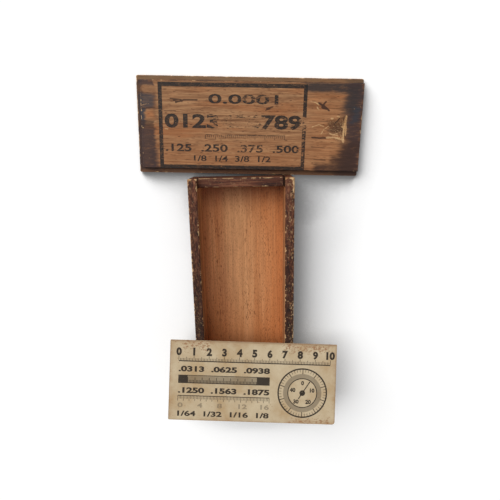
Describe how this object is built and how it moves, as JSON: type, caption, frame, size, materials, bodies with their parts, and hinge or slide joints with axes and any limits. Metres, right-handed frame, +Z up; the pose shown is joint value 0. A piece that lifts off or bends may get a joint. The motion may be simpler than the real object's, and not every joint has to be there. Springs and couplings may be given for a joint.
{
  "type": "micrometer case",
  "caption": "Small wooden instrument case laid out open: grooved box, tongued sliding lid with a thumb notch lying beyond its head end, and a folded leaflet over its foot end.",
  "frame": {"origin": "centre of the box's underside, on the surface that the box and the lid lie on", "axes": "+Z up out of the box's opening, +Y along the box from the foot end to the head end, +X across the box to the right"},
  "size_m": [0.1515, 0.2382, 0.0417],
  "materials": {
    "stained_wall_wood": "dark stained and handled, edges worn to bare wood",
    "beech_floor_wood": "oiled flecked beech, satin",
    "worn_lid_wood": "worn varnish with dark stained ends",
    "dull_iron": "dull, lightly rusted",
    "aged_paper": "matt, yellowed and foxed"
  },
  "bodies": {
    "box": {"side_wall_left": "stained_wall_wood", "side_wall_right": "stained_wall_wood", "foot_wall": "stained_wall_wood", "head_wall": "stained_wall_wood", "floor_board": "beech_floor_wood", "head_corner_brads": "dull_iron", "foot_corner_brads": "dull_iron", "floor_brads": "dull_iron"},
    "lid": {"lid": "worn_lid_wood"},
    "leaflet": {"leaflet_back_leaf": "aged_paper"},
    "leaflet_cover": {"leaflet_front_leaf": "aged_paper"}
  },
  "joints": [
    {"name": "lid_lift", "type": "slide", "parent": "box", "child": "lid", "axis": [0, 0, 1], "range_m": [0, 0.06]},
    {"name": "leaflet_lift", "type": "slide", "parent": "box", "child": "leaflet", "axis": [0, 0, 1], "range_m": [0, 0.06]},
    {"name": "leaflet_fold", "type": "hinge", "parent": "leaflet", "child": "leaflet_cover", "pos_m": [0.00645, -0.03725, 0.02815], "axis": [-0.9988, 0.0489, 0], "range_deg": [-13.5, 166]}
  ]
}
